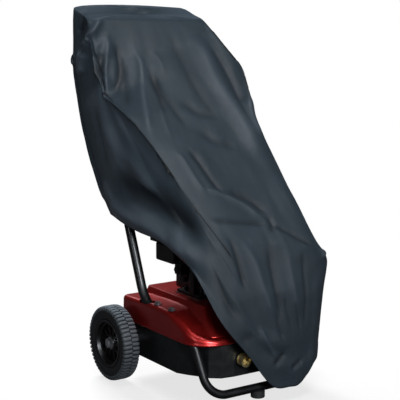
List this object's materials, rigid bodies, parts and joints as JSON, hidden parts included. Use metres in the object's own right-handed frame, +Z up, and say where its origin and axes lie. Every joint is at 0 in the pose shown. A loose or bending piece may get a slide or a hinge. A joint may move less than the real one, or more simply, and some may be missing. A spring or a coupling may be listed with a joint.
{
  "type": "pressure washer with storage cover",
  "caption": "Wheeled petrol pressure washer with a leaning tubular handle and red deck, under a fitted dark fabric storage cover that lifts off.",
  "frame": {"origin": "on the floor under the centre of the overall box", "axes": "+Z up, front of the machine (foot pad and hose inlet) towards -Y, handle towards +Y, wheel axle along X"},
  "size_m": [0.516, 0.7082, 1.0103],
  "materials": {
    "red_paint": "gloss",
    "black_plastic": "satin",
    "wheel_plastic": "satin",
    "black_paint": "gloss",
    "tyre": "matte",
    "rubber": "matte",
    "foam": "matte",
    "zinc_steel": "satin",
    "cast_aluminium": "cast",
    "brass": "satin",
    "cover_fabric": "satin coated"
  },
  "bodies": {
    "chassis": {"air_filter_base": "black_plastic", "air_filter_cover": "black_plastic", "air_filter_foam": "foam", "axle": "zinc_steel", "axle_brackets": "black_paint", "axle_nuts": "zinc_steel", "axle_spacers": "zinc_steel", "base_skirt": "black_plastic", "blower_housing": "black_plastic", "carburettor": "cast_aluminium", "crankcase": "cast_aluminium", "cross_tray": "black_paint", "cylinder": "cast_aluminium", "cylinder_head": "cast_aluminium", "deck_shell": "red_paint", "engine_plate": "zinc_steel", "foot_frame": "black_paint", "foot_pad": "rubber", "frame_bolts": "zinc_steel", "frame_nuts": "zinc_steel", "fuel_tank": "black_paint", "gun_holster": "black_plastic", "handle_grip": "rubber", "handle_joint_bolts": "zinc_steel", "handle_lower_tubes": "black_paint", "handle_upper": "black_paint", "hose_coil": "rubber", "hose_hook_bar": "black_paint", "lance": "zinc_steel", "muffler": "zinc_steel", "muffler_guard": "black_plastic", "outlet_nipple": "brass", "plug_cap": "black_plastic", "pump_housing": "cast_aluminium", "pump_manifold": "cast_aluminium", "pump_pipes": "brass", "pump_pistons": "zinc_steel", "pump_springs": "zinc_steel", "spark_plug": "zinc_steel", "spray_gun": "black_plastic", "starter_housing": "black_plastic"},
    "cover": {"cover": "cover_fabric"},
    "wheel_left": {"tyre_left": "tyre", "wheel_rim_left": "wheel_plastic"},
    "wheel_right": {"tyre_right": "tyre", "wheel_rim_right": "wheel_plastic"},
    "crank": {"crankshaft": "zinc_steel", "flywheel": "cast_aluminium", "wobble_plate": "zinc_steel"},
    "fuel_cap": {"fuel_cap": "black_plastic"},
    "oil_cap": {"oil_cap": "black_plastic"},
    "throttle_lever": {"throttle_lever": "black_plastic"},
    "fuel_valve": {"fuel_valve_knob": "black_plastic"},
    "primer_bulb": {"primer_bulb": "rubber"},
    "starter_grip": {"starter_grip": "black_plastic"},
    "unloader_knob": {"unloader_knob": "black_plastic"},
    "inlet_swivel": {"inlet_swivel": "brass"},
    "gun_trigger": {"gun_trigger": "black_plastic"},
    "handle_knob_left": {"handle_knob_left": "black_plastic"},
    "handle_knob_right": {"handle_knob_right": "black_plastic"}
  },
  "joints": [
    {"name": "cover_lift", "type": "slide", "parent": "chassis", "child": "cover", "axis": [0, 0.3244, 0.9459], "range_m": [0, 1.1]},
    {"name": "wheel_left_spin", "type": "hinge", "parent": "chassis", "child": "wheel_left", "pos_m": [-0.234, 0.055, 0.1016], "axis": [1, 0, 0], "continuous": true},
    {"name": "wheel_right_spin", "type": "hinge", "parent": "chassis", "child": "wheel_right", "pos_m": [0.234, 0.055, 0.1016], "axis": [1, 0, 0], "continuous": true},
    {"name": "crank_spin", "type": "hinge", "parent": "chassis", "child": "crank", "pos_m": [0, -0.06, 0.35], "axis": [0, 0, 1], "continuous": true},
    {"name": "fuel_cap_turn", "type": "hinge", "parent": "chassis", "child": "fuel_cap", "pos_m": [0, -0.178, 0.437], "axis": [0, 0, 1], "range_deg": [0, 360]},
    {"name": "oil_cap_turn", "type": "hinge", "parent": "chassis", "child": "oil_cap", "pos_m": [-0.088, -0.114, 0.335], "axis": [0, 0, 1], "range_deg": [0, 360]},
    {"name": "throttle_swing", "type": "hinge", "parent": "chassis", "child": "throttle_lever", "pos_m": [0.06, -0.01, 0.405], "axis": [0, 0, 1], "range_deg": [-12, 30]},
    {"name": "fuel_valve_turn", "type": "hinge", "parent": "chassis", "child": "fuel_valve", "pos_m": [-0.086, -0.18, 0.318], "axis": [-1, 0, 0], "range_deg": [0, 90]},
    {"name": "primer_push", "type": "slide", "parent": "chassis", "child": "primer_bulb", "axis": [1, 0, 0], "range_m": [0, 0.005]},
    {"name": "starter_pull", "type": "slide", "parent": "chassis", "child": "starter_grip", "axis": [0, 0.1961, 0.9806], "range_m": [0, 0.15]},
    {"name": "unloader_turn", "type": "hinge", "parent": "chassis", "child": "unloader_knob", "pos_m": [0, -0.145, 0.101], "axis": [0, -1, 0], "range_deg": [0, 270]},
    {"name": "inlet_swivel_turn", "type": "hinge", "parent": "chassis", "child": "inlet_swivel", "pos_m": [-0.057, -0.3, 0.113], "axis": [0, -1, 0], "continuous": true},
    {"name": "trigger_squeeze", "type": "hinge", "parent": "chassis", "child": "gun_trigger", "pos_m": [0.165, 0.16037, 0.79177], "axis": [-1, 0, 0], "range_deg": [0, 9]},
    {"name": "handle_knob_left_turn", "type": "hinge", "parent": "chassis", "child": "handle_knob_left", "pos_m": [-0.15, 0.18971, 0.738], "axis": [1, 0, 0], "continuous": true},
    {"name": "handle_knob_right_turn", "type": "hinge", "parent": "chassis", "child": "handle_knob_right", "pos_m": [0.15, 0.18971, 0.738], "axis": [1, 0, 0], "continuous": true}
  ]
}
